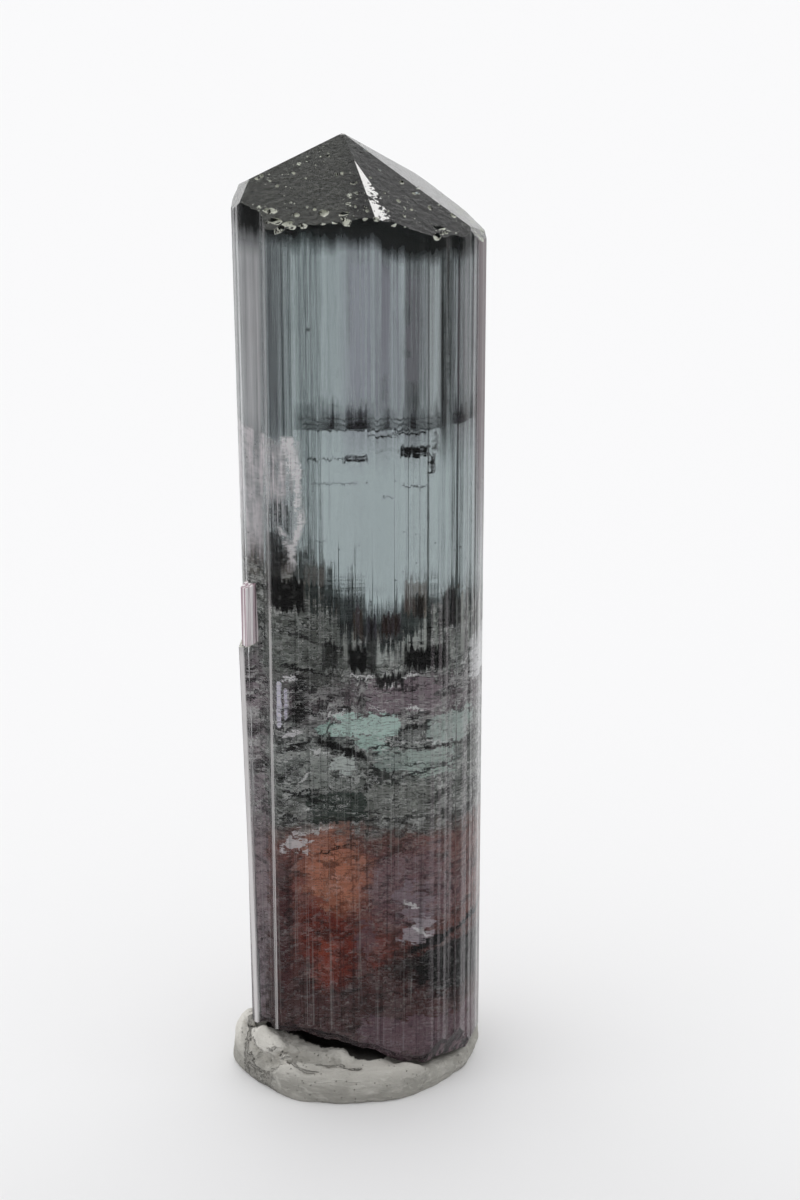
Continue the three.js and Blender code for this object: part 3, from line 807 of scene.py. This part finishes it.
def cloudy_inclusions(settings, low, high):
    """What shows inside, in one band of height: clouds and cracks below, wisps above."""
    recipe = Recipe(f"Inclusions from {low:.0f} to {high:.0f} mm")
    recipe.owner.cycles.emission_sampling = "NONE"
    inside = Inside(recipe, low, high)
    x, z, needles = inside.x, inside.z, inside.needles
    shown, relief = 1.0, {}
    if low < HALFWAY:
        colour, block, fine = clouded_half(inside)
        relief["Normal"] = recipe.bump(fine, 0.2)
    if high > HALFWAY:
        haze, shown = clear_half(inside)
    if low < HALFWAY < high:
        edge = 38.6 + (0.2 - x).most(0.0).least(5.4) * 1.05 + x.step(2.0, 6.0) * 2.8
        below = z - edge - needles * 10.0 - (block - 0.5) * 1.6 - inside.cloud * 1.5
        fringe = needles.step(-0.02, 0.1) * z.step(47.0, 45.0)
        haze = recipe.blend(fringe, haze, under_glass(52, 45, 40))
        colour = recipe.blend((z - edge).step(0.2, 1.6), colour, haze)
        columns = inside.noise((2.4, 2.4, 0.06), detail=4.0, rough=0.6, seed=16.0)
        there = z.step(36.8, 38.4) * (z - edge).step(2.0, 0.4) * x.step(-2.6, -1.0) * inside.front
        light, dark = columns.step(0.02, 0.08) * 0.6, columns.step(-0.02, -0.07) * 0.85
        colour = recipe.blend(light * there, colour, under_glass(134, 138, 133))
        colour = recipe.blend(dark * there, colour, under_glass(14, 13, 12))
        shown = below.step(0.25, -0.25).most(shown)
    elif high > HALFWAY:
        colour = haze
    if high > LOWEST_BAR:
        colour, bars = barred(inside, colour)
        if high > HALFWAY:
            shown = shown.most(bars)
    surface = recipe.shader(
        Base_Color=colour,
        Roughness=0.5,
        Specular_IOR_Level=0.1,
        Alpha=shown,
        # Painted light: the inclusions glow with a share of their own colour, standing in for light
        # from behind.
        Emission_Color=colour,
        Emission_Strength=settings.painted_glow,
        **relief,
    )
    return recipe.finish(surface)


def crease_lines(recipe, place, lines, width):
    """1 along lines over the putty, seen from above, falling to 0 a width away."""
    x, y, _ = recipe.parts(place)
    nearest_line = None
    for points in lines:
        for (x_from, y_from, _), (x_to, y_to, _) in zip(points, points[1:]):
            run_x, run_y = x_to - x_from, y_to - y_from
            length = run_x * run_x + run_y * run_y
            share = (((x - x_from) * run_x + (y - y_from) * run_y) / length).clamped()
            away_x, away_y = x - x_from - share * run_x, y - y_from - share * run_y
            away = away_x * away_x + away_y * away_y
            nearest_line = nearest_line.least(away) if nearest_line else away
    return nearest_line.step(width * width, 0.0)


def grey_putty(settings):
    """Dry matt putty: smeared by pressing, creased and lightly pitted, painted lighter on top, with
    painted shade in its folds and pits and a painted black shadow under the crystal.
    """
    recipe = Recipe("Grey mounting putty")
    place = recipe.place()
    grain = recipe.noise(place, (4.0, 4.0, 4.0), detail=6.0)
    smears = recipe.noise(place, (0.5, 0.5, 1.2), detail=4.0, warp=0.8, seed=2.0)
    drawn = recipe.noise(place, (0.35, 3.0, 3.0), detail=4.0, warp=0.6, seed=3.0)
    pits = recipe.cells(place, (2.2, 2.2, 2.2))
    height = recipe.parts(place)[2]
    wobble = recipe.joined(grain * 0.9 - 0.45, smears * 0.9 - 0.45, 0.0)
    shaken = recipe.vector("ADD", place, wobble)
    folds = crease_lines(recipe, shaken, [points for points, _, deep in FOLDS if deep > 0], 0.17)
    hollow_shadow = crease_lines(recipe, shaken, [SHADOW_LINE], 1.8) * height.step(1.6, 2.2)
    # Painted light: the top of the putty is painted lighter, as if better lit.
    painted_top_light = recipe.blend(height.step(1.2, 3.4), tuple(settings.putty), (0.72, 0.70, 0.65))
    colour = recipe.blend(smears.step(0.45, 0.70) * 0.4, painted_top_light, (0.66, 0.645, 0.60))
    colour = recipe.blend(drawn.step(0.52, 0.66) * 0.3, colour, (0.76, 0.75, 0.70))
    # Painted shade: darker in the pits.
    colour = recipe.blend(pits.step(0.14, 0.06) * 0.6, colour, (0.20, 0.19, 0.17))
    # Painted shade: darker along the folds, where shade falls in the creases.
    colour = recipe.blend(folds * 0.35, colour, (0.18, 0.17, 0.155))
    # Painted shadow: black on the putty in the hollow under the crystal's front edge.
    hollow_shadow = (hollow_shadow + smears * 0.6 - 0.3).step(0.15, 0.4)
    colour = recipe.blend(hollow_shadow * 0.96, colour, (0.012, 0.011, 0.010))
    relief = grain * 0.4 + smears + drawn * 0.7 - pits.step(0.16, 0.04) * 0.8 - folds
    surface = recipe.shader(
        Base_Color=colour,
        Roughness=0.8,
        Specular_IOR_Level=0.25,
        Normal=recipe.bump(relief, 0.25),
    )
    return recipe.finish(surface)


def studio_white(settings):
    """A white sheet with painted shade: a little greyer towards the camera, where less light falls.
    """
    recipe = Recipe("Studio white sheet")
    y = recipe.parts(recipe.place())[1]
    share = y.step(-5.0, -90.0)
    colour = recipe.blend(share, tuple(settings.sheet), (0.54, 0.54, 0.55))
    surface = recipe.shader(Base_Color=colour, Roughness=0.6, Specular_IOR_Level=0.2)
    return recipe.finish(surface)


def soft_studio():
    """A world that is brighter behind the crystal, overhead and on the left."""
    recipe = Recipe("Soft studio", "worlds")
    x, y, z = recipe.parts(recipe.node("ShaderNodeTexCoord"))
    strength = y.ranged(-0.8, 0.3, 0.16, 0.86) + z.ranged(0.1, 0.9, 0.0, 0.60)
    strength = strength + x.ranged(0.6, -0.9, 0.0, 0.14)
    sockets = {"Color": (1.0, 1.0, 1.0), "Strength": strength}
    light = recipe.node("ShaderNodeBackground", None, sockets)
    recipe.node("ShaderNodeOutputWorld", None, {"Surface": light}, out=None)
    return recipe.owner


def deselect_all():
    for obj in bpy.context.selected_objects:
        obj.select_set(False)


def dress(obj, *materials):
    obj.data.materials.clear()
    for material in materials:
        obj.data.materials.append(material)


def choose(obj):
    """Makes one object the selected and active one."""
    deselect_all()
    obj.select_set(True)
    bpy.context.view_layer.objects.active = obj


def copy_of_node(node, name):
    """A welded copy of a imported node, as a piece of its own."""
    piece = bpy.data.objects.new(name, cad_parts[node].data.copy())
    bpy.context.scene.collection.objects.link(piece)
    choose(piece)
    bpy.ops.object.mode_set(mode="EDIT")
    bpy.ops.mesh.select_all(action="SELECT")
    bpy.ops.mesh.remove_doubles(threshold=0.002 * MM)
    bpy.ops.object.mode_set(mode="OBJECT")
    return piece


def face_normal(facing, slope):
    """The way a face looks, from its compass angle and its slope below level."""
    turn, tilt = math.radians(facing), math.radians(slope)
    return Vector((math.sin(turn) * math.sin(tilt), -math.cos(turn) * math.sin(tilt), math.cos(tilt)))


def apply(piece, kind, **settings):
    """Adds a modifier and applies it."""
    choose(piece)
    modifier = piece.modifiers.new(kind.title(), kind)
    for name, value in settings.items():
        setattr(modifier, name, value)
    bpy.ops.object.modifier_apply(modifier=modifier.name)


def press(piece, points, reach, depth):
    """Presses a crease into a piece along a line of points, all in millimetres."""
    choose(piece)
    path = [piece.closest_point_on_mesh(Vector(point) * MM)[1] for point in points]
    middle = sum(path, Vector()) / len(path)
    span = max((point - middle).length for point in path) + reach * MM
    away = [
        min((vertex.co - nearest(vertex.co, start, end)).length for start, end in zip(path, path[1:]))
        if (vertex.co - middle).length < span else span
        for vertex in piece.data.vertices
    ]
    for share, part in ((1.0, 0.35), (0.6, 0.35), (0.3, 0.3)):
        bpy.ops.object.mode_set(mode="EDIT")
        bpy.ops.mesh.select_all(action="DESELECT")
        bpy.ops.object.mode_set(mode="OBJECT")
        for vertex, distance in zip(piece.data.vertices, away):
            vertex.select = distance < reach * share * MM
        bpy.ops.object.mode_set(mode="EDIT")
        bpy.ops.transform.shrink_fatten(value=-depth * part * MM)
        bpy.ops.object.mode_set(mode="OBJECT")


def nearest(point, start, end):
    """The nearest place to a point on the line between two others."""
    along = end - start
    share = (point - start).dot(along) / along.length_squared
    return start + along * min(max(share, 0.0), 1.0)


# Folds in the putty: their points, reach to each side and depth, mm; one below 0 stands up.
FOLDS = [
    ([(-5.4, -5.6, 3.4), (-4.7, -6.0, 3.0), (-3.0, -6.2, 2.8), (-1.4, -6.9, 2.8)], 1.3, -0.8),
    (
        [(-8.5, -4.1, 5.1), (-9.0, -4.8, 4.4), (-9.1, -5.2, 3.5), (-8.6, -6.0, 2.8),
         (-7.8, -7.0, 2.5), (-7.1, -7.7, 2.8), (-6.3, -8.1, 3.5), (-5.4, -7.9, 3.5)],
        0.7, 0.9,
    ),
    ([(-5.4, -7.9, 3.5), (-4.2, -7.4, 3.0), (-3.0, -7.6, 2.9), (-1.9, -7.9, 2.8)], 0.5, 0.6),
    ([(-1.9, -7.7, 2.8), (-0.9, -8.3, 2.9), (0.1, -8.6, 2.9)], 0.4, 0.4),
    ([(-5.2, -8.6, 2.6), (-4.0, -8.9, 2.2), (-3.2, -8.7, 2.4)], 0.4, 0.35),
]
# Where a black shadow is painted on the putty, in the hollow under the crystal's front edge.
SHADOW_LINE = [(-6.0, -4.0, 4.0), (-4.9, -4.4, 3.1), (-3.2, -4.7, 2.9), (-1.6, -5.3, 2.8), (1.0, -6.2, 2.9)]


class TourmalineSettings(bpy.types.PropertyGroup):
    ior: FloatProperty(
        name="Refractive Index", description="How strongly the crystal bends light",
        default=1.62, min=1.0, max=2.5,
    )
    tint: FloatVectorProperty(
        name="Body Colour", description="Colour that the clear crystal lets through",
        subtype="COLOR", size=3, default=(0.36, 0.45, 0.46), min=0.0, max=1.0,
    )
    absorption: FloatProperty(
        name="Absorption", description="How quickly light fades inside, per metre",
        default=106.0, min=0.0,
    )
    inclusion_depth: FloatProperty(
        name="Inclusion Depth", description="How far inside the surface the clouds begin",
        subtype="DISTANCE", unit="LENGTH", default=0.5 * MM, min=0.0,
    )
    gloss: FloatProperty(
        name="Gloss", description="Strength of the crystal's surface reflections",
        default=0.20, min=0.0, max=1.0,
    )
    # Painted light: how strongly the inclusions glow with their own colour.
    painted_glow: FloatProperty(
        name="Inner Glow", description="Light from behind that the clouds pass on",
        default=0.2, min=0.0, max=1.0,
    )
    putty: FloatVectorProperty(
        name="Putty Colour", description="Colour of the dry putty",
        subtype="COLOR", size=3, default=(0.36, 0.35, 0.32), min=0.0, max=1.0,
    )


class StageSettings(bpy.types.PropertyGroup):
    sheet: FloatVectorProperty(
        name="Sheet Colour", description="Colour of the pale sheet it stands on",
        subtype="COLOR", size=3, default=(0.87, 0.87, 0.878), min=0.0, max=1.0,
    )
    camera_place: FloatVectorProperty(
        name="Camera Position", description="Where the camera stands",
        subtype="XYZ", unit="LENGTH", size=3, default=(0.0035, -0.22064, 0.1258),
    )
    camera_dip: FloatProperty(
        name="Camera Dip", description="How far the camera looks down from level",
        subtype="ANGLE", unit="ROTATION", default=math.radians(21.3),
    )
    camera_lens: FloatProperty(
        name="Lens", description="Focal length on a 36 mm frame", default=90.0, min=1.0,
    )


class TOURMALINE_OT_crystal(bpy.types.Operator):
    """Gives the crystal its clear, striated finish"""

    bl_idname = "tourmaline.crystal"
    bl_label = "Crystal"

    def execute(self, context):
        settings = context.scene.tourmaline
        crystal = copy_of_node("tourmaline_crystal", "crystal")
        dress(
            crystal,
            clear_tourmaline(settings),
            pointed_tourmaline(settings),
            # The etched ridge is frosted; its pure white is also a painted highlight where it catches
            # the light.
            etched_tourmaline(settings, "Etched ridge", srgb(255, 254, 252), 3.2, 0.95, gaps=0.8),
            etched_tourmaline(settings, "Etch pits", srgb(220, 222, 210), 3.0, 0.6),
            etched_tourmaline(settings, "Broken foot", srgb(92, 74, 80), 1.5, 0.45),
            milky_tourmaline(settings),
        )
        prism, point, ridge, pit, foot, side = range(6)
        point_normals = [face_normal(*face) for face in POINT_FACES] + [Vector((0, 0, 1))]
        ridge_normal = face_normal(*ETCHED_FACE)
        for face in crystal.data.polygons:
            face.use_smooth = False
            centre = face.center
            if centre.x < SIDE_CRYSTAL[0] * MM and SIDE_CRYSTAL[1] < centre.z / MM < SIDE_CRYSTAL[2]:
                face.material_index = side
            elif abs(face.normal.z) < UPRIGHT:
                face.material_index = prism
            elif centre.z < FOOT_TOP * MM:
                face.material_index = foot
            elif face.normal.dot(ridge_normal) > MUCH_ALIKE:
                face.material_index = ridge
            elif max(face.normal.dot(normal) for normal in point_normals) > ALIKE:
                face.material_index = point
            else:
                face.material_index = pit
        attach(crystal, "root")
        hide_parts("tourmaline_crystal")
        return {"FINISHED"}


class TOURMALINE_OT_inclusions(bpy.types.Operator):
    """Makes the clouds, cracks and wisps that show inside the crystal"""

    bl_idname = "tourmaline.inclusions"
    bl_label = "Inclusions"

    def execute(self, context):
        settings = context.scene.tourmaline
        cloud = copy_of_node("tourmaline_crystal", "inclusions")
        low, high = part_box("tourmaline_crystal")
        inset = settings.inclusion_depth
        wide, deep, tall = high - low
        shrink = ((wide - 2 * inset) / wide, (deep - 2 * inset) / deep, (tall - 2 * inset) / tall)
        foot = ((low + high) / 2).xy.to_3d() + Vector((0, 0, low.z))
        bpy.ops.object.mode_set(mode="EDIT")
        bpy.ops.mesh.select_all(action="SELECT")
        bpy.ops.transform.resize(value=shrink, center_override=foot)
        bpy.ops.transform.translate(value=(0, 0, 0.25 * MM))
        bpy.ops.object.mode_set(mode="OBJECT")
        apply(cloud, "REMESH", mode="VOXEL", voxel_size=0.35 * MM)
        apply(cloud, "SMOOTH", iterations=6, factor=0.5)
        choose(cloud)
        bpy.ops.object.shade_smooth()
        dress(cloud, *(cloudy_inclusions(settings, *band) for band in BANDS))
        for face in cloud.data.polygons:
            face.material_index = sum(face.center.z > low * MM for low, high in BANDS[1:])
        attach(cloud, "root")
        return {"FINISHED"}


class TOURMALINE_OT_putty(bpy.types.Operator):
    """Gives the putty its matt, creased finish"""

    bl_idname = "tourmaline.putty"
    bl_label = "Putty"

    def execute(self, context):
        lump = copy_of_node("mounting_putty", "putty")
        apply(lump, "REMESH", mode="VOXEL", voxel_size=0.24 * MM)
        apply(lump, "SMOOTH", iterations=8, factor=0.5)
        for name, size, strength in (("Thumb marks", 3.2, 0.7), ("Finger grain", 0.9, 0.16)):
            texture = bpy.data.textures.new(name, "CLOUDS")
            texture.noise_scale = size * MM
            apply(lump, "DISPLACE", texture=texture, strength=strength * MM, mid_level=0.5)
        for fold in FOLDS:
            press(lump, *fold)
        bpy.ops.object.mode_set(mode="EDIT")
        bpy.ops.mesh.select_all(action="SELECT")
        bpy.ops.transform.translate(value=(0, 0, -0.2 * MM))
        bpy.ops.mesh.bisect(
            plane_co=(0, 0, 0), plane_no=(0, 0, 1), threshold=0.001 * MM,
            clear_inner=True, use_fill=True,
        )
        bpy.ops.object.mode_set(mode="OBJECT")
        bpy.ops.object.shade_smooth()
        dress(lump, grey_putty(context.scene.tourmaline))
        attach(lump, "root")
        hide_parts("mounting_putty")
        return {"FINISHED"}


class TOURMALINE_OT_stage(bpy.types.Operator):
    """Sets up the pale sheet, the soft light and the camera"""

    bl_idname = "tourmaline.stage"
    bl_label = "Stage"

    def execute(self, context):
        scene = context.scene
        settings = scene.tourmaline_stage
        deselect_all()
        bpy.ops.mesh.primitive_plane_add(size=6.0, location=(0, 0, CAD_BOX[0][2]))
        sheet = context.active_object
        sheet.name = "sheet"
        dress(sheet, studio_white(settings))

        scene.world = soft_studio()

        camera = bpy.data.objects.new("camera", bpy.data.cameras.new("camera"))
        scene.collection.objects.link(camera)
        camera.location = settings.camera_place
        camera.rotation_euler = (math.pi / 2 - settings.camera_dip, 0, 0)
        camera.data.lens = settings.camera_lens
        camera.data.clip_start = 0.01
        scene.camera = camera
        scene.view_settings.view_transform = "Standard"
        return {"FINISHED"}


STEPS = ("crystal", "inclusions", "putty", "stage")


class TOURMALINE_PT_panel(bpy.types.Panel):
    bl_label = "Tourmaline"
    bl_idname = "TOURMALINE_PT_panel"
    bl_space_type = "VIEW_3D"
    bl_region_type = "UI"
    bl_category = "Tourmaline"

    def draw(self, context):
        for step in STEPS:
            self.layout.operator(f"tourmaline.{step}")


CLASSES = (
    TourmalineSettings,
    StageSettings,
    TOURMALINE_OT_crystal,
    TOURMALINE_OT_inclusions,
    TOURMALINE_OT_putty,
    TOURMALINE_OT_stage,
    TOURMALINE_PT_panel,
)


def register():
    for cls in CLASSES:
        bpy.utils.register_class(cls)
    bpy.types.Scene.tourmaline = PointerProperty(type=TourmalineSettings)
    bpy.types.Scene.tourmaline_stage = PointerProperty(type=StageSettings)


def unregister():
    del bpy.types.Scene.tourmaline_stage
    del bpy.types.Scene.tourmaline
    for cls in reversed(CLASSES):
        bpy.utils.unregister_class(cls)


def main():
    register()
    for step in STEPS:
        getattr(bpy.ops.tourmaline, step)()


if __name__ == "__main__":
    main()
